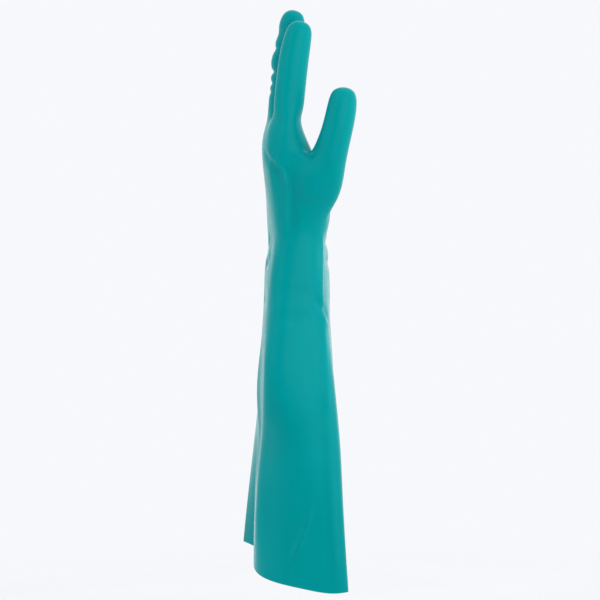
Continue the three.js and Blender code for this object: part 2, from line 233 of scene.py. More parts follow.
@dataclass(frozen=True)
class Knuckles:
    """The row of fingers at the webs, from the thumb's side."""

    finger_width: float = 21.5  # of the middle finger, as the next two
    finger_thickness: float = 22.0
    finger_length: float = 86.0
    gap: float = 2.4
    margin: float = 0.6
    rows: tuple[FingerRow, ...] = (
        FingerRow("index", 0.98, 1.02, 0.885, 0.8, 4, 5, -0.23),
        FingerRow("middle", 1, 1, 1.012, 0.3, 4.6, 1.6, -0.27),
        FingerRow("ring", 0.95, 0.955, 0.895, -1.5, 6, 5, 0.05),
        FingerRow("little", 0.86, 0.865, 0.71, -3, 5, 5, 0.3),
    )

    @property
    def span(self) -> float:
        """Returns the width of all the fingers and the gaps between them."""
        return self.finger_width * sum(row.wide for row in self.rows) + self.gap * (len(self.rows) - 1)

    @property
    def half_width(self) -> float:
        """Returns half of the palm's width at the webs."""
        return self.span / 2 + self.margin

    @property
    def depth(self) -> float:
        """Returns half of the fingers' mean thickness."""
        return self.finger_thickness * sum(row.thick for row in self.rows) / len(self.rows) / 2

    @property
    def edges(self) -> list[float]:
        """Returns the near edge of each finger, and the far edge of the last one."""
        found = [self.span / 2]
        for row in self.rows:
            gap = 0 if row is self.rows[-1] else self.gap
            found.append(found[-1] - self.finger_width * row.wide - gap)
        return found

    @property
    def centres(self) -> list[float]:
        """Returns the place of each finger's middle across the palm."""
        return [edge - self.finger_width * row.wide / 2 for edge, row in zip(self.edges, self.rows)]

    @property
    def shared_edges(self) -> list[float]:
        """Returns the outer edges, and the middle of each gap between two fingers."""
        last = len(self.rows)
        return [edge + self.gap / 2 if 0 < i < last else edge for i, edge in enumerate(self.edges)]

    def arch_at(self, across: float) -> float:
        """Works out how far the fingers' arch stands to the palm's side.

        Args:
            across: a place across the palm.

        Returns:
            The arch there, as a share of the palm's depth.
        """
        centres = self.centres
        far = next((i for i, centre in enumerate(centres) if centre < across), len(centres) - 1)
        far = max(1, far)
        share = (centres[far - 1] - across) / (centres[far - 1] - centres[far])
        return lerp(self.rows[far - 1].arch, self.rows[far].arch, min(1, max(0, share)))

    def shares(self, spread: float) -> list[float]:
        """Works out how far along the hand's section each of its points stands.

        Args:
            spread: from 0 for a plain section to 1 for one with its points under the fingers.

        Returns:
            A share for each point, from 1 at the thumb's side to -1 at the far side.
        """
        found = []
        for i, plain in enumerate(even_shares()):
            if i % (TUBE_SIDES // 2) == 0:
                found.append(plain)
                continue
            step = i - 1 if i <= FACE_POINTS else TUBE_SIDES - 1 - i
            place = self.centres[step // 2] if step % 2 else self.shared_edges[step // 2]
            found.append(lerp(plain, place / self.half_width, spread))
        return found


@dataclass(frozen=True)
class Sleeve:
    """The loose sleeve, with a crease along each side, a pinched back and a slanting hem that sags below the back."""

    length: float = 260.0
    mouth_width: float = 146.0
    mouth_back_depth: float = 38.5
    mouth_palm_depth: float = 25.0
    mouth_aside: float = 12.5
    mouth_behind: float = 0.5
    mouth_twist: float = 24.5
    hem_drop_to_palm: float = 15.8
    hem_drop_to_thumb: float = 6.6
    hem_sag: float = 6.7
    sag_fade: float = 0.08
    sag: Bump = Bump(0.4, 0.42)
    corner_lift: float = 4.2
    corner: Bump = Bump(1.0, 0.15)
    far_drop: float = 1.6
    far_corner: Bump = Bump(-1.0, 0.15)
    wrist_width: float = 82.0
    wrist_depth: float = 21.1
    rows: tuple[SleeveRow, ...] = (
        SleeveRow(0.0, 1.0, 1.0, 1.0, 1.0, 1.0, 0.72, 0.68, 0.42, 0.12, 2.6, 0.46),
        SleeveRow(0.09, 0.92, 0.99, 1.0, 0.98, 0.96, 0.7, 0.64, 0.38, 0.12, 2.6, 0.45),
        SleeveRow(0.2, 0.79, 0.89, 1.0, 0.96, 0.88, 0.64, 0.58, 0.31, 0.11, 2.8, 0.44),
        SleeveRow(0.3, 0.69, 0.7, 0.9, 0.91, 0.78, 0.54, 0.56, 0.22, 0.09, 3.4, 0.46),
        SleeveRow(0.4, 0.58, 0.52, 0.8, 0.85, 0.6, 0.42, 0.6, 0.11, 0.05, 3.8, 0.43),
        SleeveRow(0.51, 0.48, 0.65, 0.87, 0.68, 0.48, 0.35, 0.62, 0, 0.02, 4.0, 0.41),
        SleeveRow(0.61, 0.4, 0.5, 1.15, 0.49, 0.44, 0.31, 0.58, -0.02, 0, 4.2, 0.43),
        SleeveRow(0.7, 0.32, 0.4, 1.5, 0.33, 0.44, 0.31, 0.45, 0, 0, 4.6, 0.5),
        SleeveRow(0.8, 0.22, 0.26, 1.65, 0.17, 0.42, 0.33, 0.3, 0, 0, 5.5, 0.55),
        SleeveRow(0.89, 0.11, 0.24, 1.3, 0.06, 0.4, 0.35, 0.12, 0, 0, 6.5, 0.56),
        SleeveRow(0.955, 0.035, 0.11, 0.95, 0.01, 0.38, 0.37, 0, 0, 0, 7, 0.54),
    )

    def ring(self, row: SleeveRow) -> list[Vector]:
        """Works out one ring of the sleeve.

        Args:
            row: the ring's row of the table.

        Returns:
            The ring's points, from the thumb's side by the palm to the far side and back.
        """
        shares = even_shares()
        section = Section(
            half_width=lerp(self.wrist_width, self.mouth_width, row.widen) / 2,
            back_depth=lerp(self.wrist_depth, self.mouth_back_depth, row.back),
            palm_depth=lerp(self.wrist_depth, self.mouth_palm_depth, row.palm),
            crease=row.crease,
            near=row.near,
            skew=row.skew,
            pinch=row.pinch,
            swell=row.swell,
            flat=row.flat,
            tilt=row.tilt,
        )
        turn = math.radians(self.mouth_twist * row.twist)
        found = []
        for i, (across, through) in enumerate(section.points(shares)):
            x = across * math.cos(turn) - through * math.sin(turn) - self.mouth_aside * row.widen
            y = across * math.sin(turn) + through * math.cos(turn) - self.mouth_behind * row.widen
            to_thumb = x * math.tan(math.radians(self.hem_drop_to_thumb))
            to_palm = y * math.tan(math.radians(self.hem_drop_to_palm))
            hem_share = math.exp(-row.rise / self.sag_fade)
            z = self.length * row.rise - (to_thumb + to_palm) * (1 - row.rise)
            if i > TUBE_SIDES // 2:
                z -= self.hem_sag * self.sag.at(shares[i]) * hem_share
            else:
                z += self.corner_lift * self.corner.at(shares[i]) * hem_share
            z -= self.far_drop * self.far_corner.at(shares[i]) * hem_share
            found.append(Vector((x, y, z)))
        return found

    def rings(self) -> list[list[Vector]]:
        """Returns every ring of the sleeve, from the mouth up."""
        return [self.ring(row) for row in self.rows]


@dataclass(frozen=True)
class Hand:
    """The hand between the wrist and the webs."""

    sleeve: Sleeve
    knuckles: Knuckles
    length: float = 92.0
    depth: float = 19.0
    rows: tuple[HandRow, ...] = (
        HandRow(0, 0, 0, 0, 0.07, 0, 0.03, 0, 2.6, 7, 0.45, 0),
        HandRow(0.12, 0.15, 0.2, 0, 0.22, 0.12, -0.07, 0.1, 2.6, 7, 0.25, 0.15),
        HandRow(0.4, 0.6, 0.8, 0, 0.15, 0.5, -0.2, 0.5, 2.6, 6, 0.1, 0.5),
        HandRow(0.71, 0.92, 1, 0.2, 0.05, 0.25, -0.46, 0.85, 2.6, 8, 0.1, 0.85),
        HandRow(0.88, 1, 1, 0.45, 0.02, 0, -0.48, 1, 2.6, 6.5, 0.1, 1),
        HandRow(1, 1, 1, 0.85, 0, 0, -0.46, 1, 2.8, 3.6, 0, 1),
    )

    @property
    def web_height(self) -> float:
        """Returns the height of the webs above the mouth."""
        return self.sleeve.length + self.length

    def ring(self, row: HandRow) -> list[Vector]:
        """Works out one ring of the hand.

        Args:
            row: the ring's row of the table.

        Returns:
            The ring's points, in the same order as the sleeve's.
        """
        wrist_depth = lerp(self.sleeve.wrist_depth, self.depth, row.deepen)
        depth = lerp(wrist_depth, self.knuckles.depth, row.slim)
        section = Section(
            half_width=lerp(self.sleeve.wrist_width / 2, self.knuckles.half_width, row.widen),
            back_depth=depth,
            palm_depth=depth * (1 + row.heel),
            square=row.square,
            flat=row.flat,
            tilt=row.tilt,
            crease=1 / row.square,
            near=1 / row.square,
            ball=self.depth * row.ball,
        )
        z = self.sleeve.length + self.length * row.rise
        found = []
        for across, through in section.points(self.knuckles.shares(row.spread)):
            fore = self.depth * (row.fore + row.arch * self.knuckles.arch_at(across))
            found.append(Vector((across, through + fore, z)))
        return found

    def rings(self) -> list[list[Vector]]:
        """Returns every ring of the hand, from the wrist up."""
        return [self.ring(row) for row in self.rows]


@dataclass(frozen=True)
class Limb:
    """A finger's or the thumb's rings, the patch that it grows from, and its tip."""

    name: str
    patch: list[Vector]
    middle: Vector
    rings: list[list[Vector]]
    tip: Vector


def limb_ring(centre: Vector, first: Vector, second: Vector, girths: tuple[float, float]) -> list[Vector]:
    """Works out one ring of a finger or the thumb.

    Args:
        centre: the ring's middle.
        first: the direction that its first point faces.
        second: the direction that its third point faces.
        girths: its widths along the two directions.

    Returns:
        The ring's eight points.
    """
    factor = cage_factor(LIMB_SIDES) / 2
    found = []
    for i in range(LIMB_SIDES):
        angle = math.tau * i / LIMB_SIDES
        across = first * (math.cos(angle) * factor * girths[0])
        through = second * (math.sin(angle) * factor * girths[1])
        found.append(centre + across + through)
    return found


def finger_way(fan: float, lean: float) -> Vector:
    """Returns the direction to the fingertips, fanned towards the thumb and leaning to the palm, in degrees."""
    return Vector((math.tan(math.radians(fan)), math.tan(math.radians(lean)), 1)).normalized()


@dataclass(frozen=True)
class Fingers:
    """The four fingers, which lean and curl a little to the palm."""

    hand: Hand
    tip_overshoot: float = 0.035
    rows: tuple[LimbRow, ...] = (
        LimbRow(0.1, 1, 1.04, 0),
        LimbRow(0.3, 1, 1.04, 0),
        LimbRow(0.5, 1, 1.04, 0),
        LimbRow(0.7, 1, 1.02, 0.01),
        LimbRow(0.88, 0.98, 0.94, 0.05),
        LimbRow(0.98, 0.78, 0.72, 0.07),
    )

    def root(self, number: int) -> Vector:
        """Returns the middle of a finger's root, by its number from the thumb's side."""
        fore = self.hand.rows[-1].fore + self.hand.knuckles.rows[number].arch
        return Vector((self.hand.knuckles.centres[number], self.hand.depth * fore, self.hand.web_height))

    def limb(self, number: int, top: list[Vector], webs: list[Vector]) -> Limb:
        """Works out one finger.

        Args:
            number: the finger's number, from the thumb's side.
            top: the hand's last ring.
            webs: the middle points of the three webs.

        Returns:
            The finger's patch, rings and tip.
        """
        knuckles = self.hand.knuckles
        row = knuckles.rows[number]
        length = knuckles.finger_length * row.long
        start = self.root(number)
        bend = start + finger_way(row.fan, row.lean) * (length / 2)
        end = bend + finger_way(row.fan, row.lean + row.curl) * (length / 2)
        rings = []
        for ring in self.rows:
            share = ring.along
            place = start * (1 - share) ** 2 + bend * (2 * share * (1 - share)) + end * share**2
            along = ((bend - start) * (1 - share) + (end - bend) * share).normalized()
            second = along.cross(Vector((1, 0, 0))).normalized()
            first = second.cross(along)
            width = knuckles.finger_width * row.wide * ring.broad
            thickness = knuckles.finger_thickness * row.thick
            place += second * (thickness * ring.fore)
            rings.append(limb_ring(place, first, second, (width, thickness * ring.deep)))
        palm = [top[1 + 2 * number + step] for step in range(3)]
        back = [top[TUBE_SIDES - 1 - 2 * number - step] for step in (2, 1, 0)]
        near = top[0] if number == 0 else webs[number - 1]
        far = top[TUBE_SIDES // 2] if number == len(knuckles.rows) - 1 else webs[number]
        tip = end + (end - bend).normalized() * (length * self.tip_overshoot)
        return Limb(row.name, [near, *palm, far, *back], (palm[1] + back[1]) / 2, rings, tip)


@dataclass(frozen=True)
class Thumb:
    """The thumb, which grows from the near edge of the palm and stands up beside it."""

    hand: Hand
    width: float = 23.4
    rise: float = 116.0
    aside: float = 58.0
    fore: float = 27.0
    facing: float = 60.0
    tip_overshoot: float = 0.015
    hand_rows: tuple[int, int, int] = (1, 2, 3)
    rows: tuple[ThumbRow, ...] = (
        ThumbRow(0.415, 0.755, 0.56, 32, 57, 1.8, 1.4),
        ThumbRow(0.55, 0.845, 0.65, 18, 42, 1.27, 1.15),
        ThumbRow(0.665, 0.91, 0.76, 6, 26, 1.05, 1.04),
        ThumbRow(0.77, 0.95, 0.86, 0, 14, 1, 1),
        ThumbRow(0.88, 0.98, 0.94, 0, 8, 0.97, 0.98),
        ThumbRow(0.975, 0.995, 0.98, 0, 5, 0.8, 0.8),
    )

    def place(self, rise: float, aside: float, fore: float) -> Vector:
        """Returns a place of the thumb's middle line, from its shares."""
        return Vector((self.aside * aside, self.fore * fore, self.hand.sleeve.length + self.rise * rise))

    def limb(self, hand_rings: list[list[Vector]]) -> Limb:
        """Works out the thumb.

        Args:
            hand_rings: the rings of the hand.

        Returns:
            The thumb's patch, rings and tip.
        """
        low, middle, high = (hand_rings[row] for row in self.hand_rows)
        rings = []
        for row in self.rows:
            turn = math.radians(self.facing + row.facing)
            tilt = math.radians(row.tilt)
            out_way = Vector((math.cos(turn), math.sin(turn), 0))
            palm_way = UP.cross(out_way)
            in_way = UP * math.sin(tilt) - out_way * math.cos(tilt)
            girths = (self.width * row.high, self.width * row.broad)
            rings.append(limb_ring(self.place(row.rise, row.aside, row.fore), in_way, palm_way, girths))
        patch = [high[1], high[2], middle[2], low[2], low[1], low[0], middle[0], high[0]]
        return Limb("thumb", patch, middle[1], rings, self.place(1 + self.tip_overshoot, 1, 1))


@dataclass(frozen=True)
class Fold:
    """A soft ridge or valley of the wall along a path.

    azimuth is the side that the path is seen from, as for the camera. The path's points are places across the glove, as
    seen from there, and heights above the mouth. width is where it has half of its height, and height is negative for
    a valley. fade is the share of its length over which each end runs out.
    """

    name: str
    azimuth: float
    path: tuple[tuple[float, float], ...]
    width: float
    height: float
    fade: float = 0.3

    def line(self, tree: BVHTree) -> np.ndarray:
        """Lays the path on the surface.

        Args:
            tree: the surface, in metres.

        Returns:
            The path's points on the surface in metres, about a millimetre apart.
        """
        turn = math.radians(self.azimuth)
        right = Vector((math.cos(turn), math.sin(turn), 0))
        back = Vector((math.sin(turn), -math.cos(turn), 0))
        found = []
        for (across, height), (next_across, next_height) in zip(self.path, self.path[1:]):
            steps = max(2, round(math.hypot(next_across - across, next_height - height)))
            for step in range(steps):
                share = step / steps
                place = right * lerp(across, next_across, share) + UP * lerp(height, next_height, share)
                hit = tree.ray_cast(place * MM + back, -back)[0]
                if hit is not None:
                    found.append(hit)
        return np.array(found)

    def shape(self, points: np.ndarray, line: np.ndarray) -> np.ndarray:
        """Works out how far the fold moves each point.

        Args:
            points: the points, in metres.
            line: the fold's path on the surface, in metres.

        Returns:
            The distance that each point moves outwards, in metres.
        """
        moved = np.zeros(len(points))
        reach = FOLD_REACH * self.width * MM
        low, high = line.min(0) - reach, line.max(0) + reach
        near = np.flatnonzero(((points > low) & (points < high)).all(1))
        if len(near) == 0:
            return moved
        run = np.concatenate([[0], np.cumsum(np.linalg.norm(np.diff(line, axis=0), axis=1))])
        best = np.full(len(near), np.inf)
        along = np.zeros(len(near))
        for start, end, begun in zip(line[:-1], line[1:], run):
            way = end - start
            share = np.clip((points[near] - start) @ way / max(way @ way, 1e-12), 0, 1)
            away = np.linalg.norm(points[near] - start - share[:, None] * way, axis=1)
            closer = away < best
            best[closer] = away[closer]
            along[closer] = (begun + share * np.linalg.norm(way))[closer]
        from_end = np.minimum(along, run[-1] - along) / max(run[-1] * self.fade, 1e-9)
        ease = np.clip(from_end, 0, 1)
        ease = ease * ease * (3 - 2 * ease)
        profile = np.exp2(-4 * (best / (self.width * MM)) ** 2)
        moved[near] = self.height * MM * profile * ease
        return moved


SEEN = 80  # side of the glove that the camera sees, in degrees
BACK = 0
PALM = 180
FOLDS = (
    Fold(
        "edge_upper",
        SEEN,
        ((19, 272), (19.4, 243), (18.6, 218), (20, 197), (20.8, 182), (21.8, 152), (23.4, 121)),
        6,
        1.1,
        0.15,
    ),
    Fold("edge_lower", SEEN, ((21.8, 150), (23.4, 121), (25, 90), (26.5, 60), (28, 29), (30, -4)), 6, 1, 0.12),
    Fold(
        "sleeve_corner",
        SEEN,
        ((-20, 200), (-21.5, 170), (-22.5, 140), (-24.5, 110), (-28, 75), (-29.5, 30), (-29.5, 4)),
        15,
        2,
        0.2,
    ),
    Fold("hand_edge", SEEN, ((-20, 356), (-20.5, 338), (-20.5, 322), (-19.5, 304), (-17, 286)), 9, 0.45, 0.25),
    Fold("wrist_edge", SEEN, ((-17.5, 268), (-17, 248), (-18.5, 230), (-20.5, 212)), 9, 0.4, 0.25),
    Fold(
        "index_ridge",
        SEEN,
        ((-22, 327), (-16, 320), (-10.5, 310), (-8.5, 301), (-8.5, 286), (-9, 272), (-12, 255)),
        2.4,
        1.5,
    ),
    Fold("index_valley", SEEN, ((-26, 326), (-19, 317), (-14, 306), (-12, 296)), 5, -2),
    Fold("thenar_hollow", SEEN, ((-4, 316), (-3, 296), (-4, 274), (-6, 252)), 7, -2.2),
    Fold("thenar_swell", SEEN, ((12, 318), (10, 300), (8, 284)), 16, 2),
    Fold("thumb_web", SEEN, ((2, 327), (9, 321.5), (16, 325)), 3.4, -2.2),
    Fold("wrist_notch", SEEN, ((13, 216), (18, 208), (25, 199)), 4.5, -1.7),
    Fold("wrist_bulge", SEEN, ((18, 200), (25, 192)), 7, 1),
    Fold("wrist_ripple_high", SEEN, ((-18, 219), (0, 220), (16, 218)), 5.5, -0.5),
    Fold("wrist_ripple_middle", SEEN, ((-20, 208), (0, 207), (18, 209)), 5.5, 0.35),
    Fold("wrist_ripple_low", SEEN, ((-18, 198), (0, 197), (16, 200)), 6, -0.4),
    Fold("back_of_wrist_high", SEEN, ((-34, 264), (-27, 262), (-20, 260)), 7, -1),
    Fold("back_of_wrist_low", SEEN, ((-36, 212), (-29, 213), (-22, 214)), 7, -0.9),
    Fold("hem_crease", SEEN, ((13, 64), (8.5, 46), (1, 24), (-8, 6)), 4.2, 1.7),
    Fold("middle_tip_dent", BACK, ((2, 419), (11, 421), (21, 419)), 9, -1.4),
    Fold("middle_lobe_high", BACK, ((1, 398), (11, 399), (21, 398)), 9, 1),
    Fold("middle_knuckle_high", BACK, ((0, 406), (10, 409), (22, 407)), 4.5, -1.5),
    Fold("middle_knuckle_middle", BACK, ((0, 389), (10, 391), (22, 390)), 3.8, -2),
    Fold("middle_knuckle_low", BACK, ((0, 380), (10, 382), (22, 381)), 3.6, -1.4),
    Fold("middle_knuckle_base", BACK, ((0, 373), (10, 375), (22, 374)), 3.6, -0.9),
    Fold("ring_knuckle_high", BACK, ((-25, 396), (-14, 397), (-3, 396)), 4.5, -1.1),
    Fold("ring_knuckle_low", BACK, ((-25, 379), (-14, 380), (-3, 379)), 4.5, -1.1),
    Fold("little_knuckle", BACK, ((-48, 381), (-38, 382), (-28, 381)), 4.5, -1),
    Fold("back_fold_near", BACK, ((18, 250), (6, 243), (-10, 240)), 7, -1.4),
    Fold("back_fold_far", BACK, ((-34, 262), (-20, 252), (-2, 250)), 7, -1.3),
    Fold("back_long_near", BACK, ((8, 196), (6, 150), (4, 96), (2, 40)), 11, 1.6),
    Fold("back_long_far", BACK, ((-16, 210), (-24, 160), (-32, 110)), 11, -1.8),
    Fold("palm_crease_high", PALM, ((40, 336), (20, 327), (0, 327), (-18, 338)), 3.6, -1.8),
    Fold("palm_crease_low", PALM, ((24, 316), (8, 308), (-10, 312), (-30, 324)), 4, -1.8),
    Fold("palm_crease_thumb", PALM, ((-36, 332), (-22, 316), (-12, 294), (-12, 270)), 4.5, -2),
    Fold("palm_wrist_high", PALM, ((26, 262), (4, 257), (-24, 262)), 6, -1.5),
    Fold("palm_wrist_low", PALM, ((26, 246), (2, 240), (-26, 248)), 7, -1.3),
    Fold("palm_long_far", PALM, ((20, 214), (30, 160), (40, 104)), 11, -2),
    Fold("palm_long_near", PALM, ((-8, 210), (-10, 150), (-8, 84), (-4, 34)), 11, 1.8),
)


@dataclass(frozen=True)
class NitrileFinish:
    """Smooth dipped nitrile rubber with a soft gloss, faint cloudiness and a fine orange-peel skin."""

    name: str = "nitrile_outside"
    base: Colour = (0.0, 0.3, 0.315)
    deep: Colour = (0.0, 0.265, 0.278)
    roughness: tuple[float, float] = (0.2, 0.28)
    gloss: float = 0.035
    peel: float = 0.06

    def material(self) -> bpy.types.Material:
        """Makes the material.

        Returns:
            The finished material.
        """
        sheet = NodeSheet.for_material(self.name)
        place = sheet.add("ShaderNodeTexCoord").outputs["Object"]
        cloud = sheet.noise(place, scale=14, detail=3)
        streaks = sheet.noise(sheet.stretched(place, (70, 70, 7)), scale=1, detail=2)
        blend = sheet.add("ShaderNodeMath", operation="MULTIPLY_ADD")
        sheet.join(streaks, blend.inputs[0])
        blend.inputs[1].default_value = 0.35
        sheet.join(cloud, blend.inputs[2])
        shade = sheet.ramp(blend.outputs[0], ((0.45, self.deep), (0.85, self.base)))
        rough = sheet.ranged(sheet.noise(place, scale=160, detail=3), NOISE_SPAN, self.roughness)
        peel = sheet.noise(place, scale=1400, detail=2)
        ripple = sheet.noise(place, scale=120, detail=2)
        soft = sheet.bump(ripple, strength=0.12, distance=0.4 * MM)
        skin = sheet.bump(peel, strength=self.peel, distance=0.1 * MM, normal=soft)
        sheet.surface(shade, rough, skin, self.gloss)
        return sheet.material


@dataclass(frozen=True)
class MattFinish:
    """A duller finish of the same rubber, mottled between two colours."""

    name: str
    deep: tuple[float, Colour]
    pale: tuple[float, Colour]
    mottle: tuple[float, float]
    roughness: tuple[float, float]
    skin: tuple[float, float]
    gloss: float = 0.25

    def material(self) -> bpy.types.Material:
        """Makes the material.

        Returns:
            The finished material.
        """
        sheet = NodeSheet.for_material(self.name)
        place = sheet.add("ShaderNodeTexCoord").outputs["Object"]
        mottle = sheet.noise(place, *self.mottle)
        shade = sheet.ramp(mottle, (self.deep, self.pale))
        rough = sheet.ranged(mottle, NOISE_SPAN, self.roughness)
        scale, strength = self.skin
        skin = sheet.bump(sheet.noise(place, scale, detail=3), strength=strength, distance=0.1 * MM)
        sheet.surface(shade, rough, skin, self.gloss)
        return sheet.material


DUSTY_INSIDE = MattFinish(
    "nitrile_inside", (0.35, (0.004, 0.27, 0.283)), (0.75, (0.03, 0.33, 0.34)), (40, 5), (0.5, 0.65), (900, 0.15)
)
CUT_EDGE = MattFinish(
    "nitrile_cut_edge", (0.35, (0.0, 0.17, 0.18)), (0.7, (0.0, 0.22, 0.23)), (500, 3), (0.5, 0.6), (500, 0.2)
)


class NodeSheet:
    """Adds and joins the nodes of one material or of the world."""

    def __init__(self, tree: bpy.types.NodeTree, material: bpy.types.Material | None = None) -> None:
        """Clears the tree.

        Args:
            tree: the node tree to fill.
            material: the material that it belongs to.
        """
        self.tree = tree
        self.material = material
        tree.nodes.clear()

    @classmethod
    def for_material(cls, name: str) -> "NodeSheet":
        """Starts a new material.

        Args:
            name: the material's name.

        Returns:
            A sheet for its nodes.
        """
        material = bpy.data.materials.new(name)
        material.use_nodes = True
        return cls(material.node_tree, material)

    def add(self, kind: str, **settings: object) -> bpy.types.Node:
        """Adds a node.

        Args:
            kind: the node's type.
            settings: the node's own settings by name.

        Returns:
            The node.
        """
        node = self.tree.nodes.new(kind)
        for name, value in settings.items():
            setattr(node, name, value)
        return node

    def join(self, source: Socket, target: Socket) -> None:
        """Joins an output to an input."""
        self.tree.links.new(source, target)

    def noise(self, place: Socket, scale: float, detail: float) -> Socket:
        """Adds a noise.

        Args:
            place: where it is read.
            scale: how many features it has in a metre.
            detail: how many finer layers it has.

        Returns:
            Its value.
        """
        node = self.add("ShaderNodeTexNoise")
        node.inputs["Scale"].default_value = scale
        node.inputs["Detail"].default_value = detail
        self.join(place, node.inputs["Vector"])
        return node.outputs["Fac"]

    def stretched(self, place: Socket, scale: tuple[float, float, float]) -> Socket:
        """Scales places.

        Args:
            place: the places.
            scale: the factor for each direction.

        Returns:
            The scaled places.
        """
        node = self.add("ShaderNodeMapping")
        node.inputs["Scale"].default_value = scale
        self.join(place, node.inputs["Vector"])
        return node.outputs["Vector"]

    def ramp(self, value: Socket, stops: tuple[tuple[float, Colour], ...]) -> Socket:
        """Turns a value into a colour.

        Args:
            value: the value.
            stops: values with their colours, from low to high.

        Returns:
            The colour.
        """
        node = self.add("ShaderNodeValToRGB")
        elements = node.color_ramp.elements
        for i, (position, colour) in enumerate(stops):
            element = elements[i] if i < len(elements) else elements.new(position)
            element.position = position
            element.color = (*colour, 1)
        self.join(value, node.inputs["Fac"])
        return node.outputs["Color"]

    def ranged(self, value: Socket, source: tuple[float, float], target: tuple[float, float]) -> Socket:
        """Maps a value from one range to another.

        Args:
            value: the value.
            source: the range that it comes from.
            target: the range that it goes to.

        Returns:
            The new value.
        """
        node = self.add("ShaderNodeMapRange")
        for name, number in zip(("From Min", "From Max", "To Min", "To Max"), (*source, *target)):
            node.inputs[name].default_value = number
        self.join(value, node.inputs["Value"])
        return node.outputs["Result"]

    def bump(
        self,
        height: Socket,
        strength: float,
        distance: float,
        normal: Socket | None = None,
    ) -> Socket:
        """Adds a bump.

        Args:
            height: its height, from 0 to 1.
            strength: how strong it is.
            distance: its depth in metres.
            normal: a normal to build on.

        Returns:
            The normal.
        """
        node = self.add("ShaderNodeBump")
        node.inputs["Strength"].default_value = strength
        node.inputs["Distance"].default_value = distance
        self.join(height, node.inputs["Height"])
        if normal is not None:
            self.join(normal, node.inputs["Normal"])
        return node.outputs["Normal"]

    def surface(
        self,
        colour: Socket,
        roughness: Socket,
        normal: Socket,
        gloss: float,
    ) -> None:
        """Adds the shader and the output.

        Args:
            colour: the base colour.
            roughness: the roughness.
            normal: the normal.
            gloss: the specular level.
        """
        shader = self.add("ShaderNodeBsdfPrincipled")
        shader.inputs["Specular IOR Level"].default_value = gloss
        self.join(colour, shader.inputs["Base Color"])
        self.join(roughness, shader.inputs["Roughness"])
        self.join(normal, shader.inputs["Normal"])
        output = self.add("ShaderNodeOutputMaterial")
        self.join(shader.outputs["BSDF"], output.inputs["Surface"])


class CageModeller:
    """Models the glove's coarse cage in edit mode, by extruding it ring by ring from the mouth."""

    def __init__(self, name: str, mouth: list[Vector]) -> None:
        """Adds a circle and sets its points on the mouth.

        Args:
            name: the piece's name.
            mouth: the mouth's points.
        """
        bpy.ops.object.select_all(action="DESELECT")
        radius = sum(point.length for point in mouth) / len(mouth) * MM
        bpy.ops.mesh.primitive_circle_add(vertices=TUBE_SIDES, radius=radius, location=(0, 0, 0))
        self.piece = bpy.context.object
        self.piece.name = self.piece.data.name = name
        bpy.ops.object.mode_set(mode="EDIT")
        bpy.ops.mesh.select_mode(type="VERT")
        grid = bmesh.from_edit_mesh(self.piece.data)
        layer = grid.verts.layers.int.new(PLACE_LAYER)
        for i, vertex in enumerate(self._round_order(grid)):
            vertex[layer] = i
            vertex.co = mouth[i] * MM
        bmesh.update_edit_mesh(self.piece.data)
        bpy.ops.mesh.select_all(action="SELECT")

    @staticmethod
    def _round_order(grid: bmesh.types.BMesh) -> list[bmesh.types.BMVert]:
        """Returns the circle's points in the order of their angle about the middle."""
        return sorted(grid.verts, key=lambda vertex: math.atan2(vertex.co.y, vertex.co.x) % math.tau)

    def _mark(self, places: dict[int, Vector]) -> None:
        """Selects the points at given places and numbers them, and deselects the rest.

        Args:
            places: each point's number and place.
        """
        bpy.ops.mesh.select_all(action="DESELECT")
        grid = bmesh.from_edit_mesh(self.piece.data)
        layer = grid.verts.layers.int[PLACE_LAYER]
        for number, place in places.items():
            vertex = min(grid.verts, key=lambda found: (found.co - place * MM).length_squared)
            vertex[layer] = number
            vertex.select = True
        grid.select_flush(True)
        bmesh.update_edit_mesh(self.piece.data)

    def _extrude(self, places: dict[int, Vector]) -> None:
        """Extrudes what is selected and sets the new points.

        Args:
            places: each new point's number and place.
        """
        bpy.ops.mesh.extrude_region_move()
        grid = bmesh.from_edit_mesh(self.piece.data)
        layer = grid.verts.layers.int[PLACE_LAYER]
        for vertex in grid.verts:
            if vertex.select:
                vertex.co = places[vertex[layer]] * MM
        bmesh.update_edit_mesh(self.piece.data)

    def tube(self, rings: list[list[Vector]]) -> None:
        """Extrudes the open end through the given rings."""
        for ring in rings:
            self._extrude(dict(enumerate(ring)))

    def close_knuckles(self, top: list[Vector]) -> list[Vector]:
        """Closes the open end from the palm's side to the back, with a row of points down the middle.

        Args:
            top: the points of the open end.

        Returns:
            The middle points of the webs.
        """
        palm = {i: top[i] for i in range(1, FACE_POINTS + 1)}
        back = {i: top[TUBE_SIDES - i] for i in palm}
        middle = {i: (palm[i] + back[i]) / 2 for i in palm}
        middle[1], middle[FACE_POINTS] = top[0], top[TUBE_SIDES // 2]
        self._mark(palm)
        self._extrude(middle)
        self._extrude(back)
        bpy.ops.mesh.select_all(action="SELECT")
        bpy.ops.mesh.remove_doubles(threshold=MERGE_DISTANCE * MM)
        return [middle[i] for i in range(3, FACE_POINTS, 2)]

    def grow(self, limb: Limb) -> None:
        """Extrudes a finger or the thumb from its patch."""
        self._mark({**dict(enumerate(limb.patch)), MIDDLE_PLACE: limb.middle})
        for ring in limb.rings:
            centre = sum(ring, Vector()) / len(ring)
            end = limb.tip if ring is limb.rings[-1] else centre
            self._extrude({**dict(enumerate(ring)), MIDDLE_PLACE: end})
        log.info("grew the %s", limb.name)

    def finish(self) -> bpy.types.Object:
        """Turns every face outwards and leaves edit mode.

        Returns:
            The cage.
        """
        bpy.ops.mesh.select_all(action="SELECT")
        bpy.ops.mesh.normals_make_consistent(inside=False)
        bpy.ops.object.mode_set(mode="OBJECT")
        return self.piece


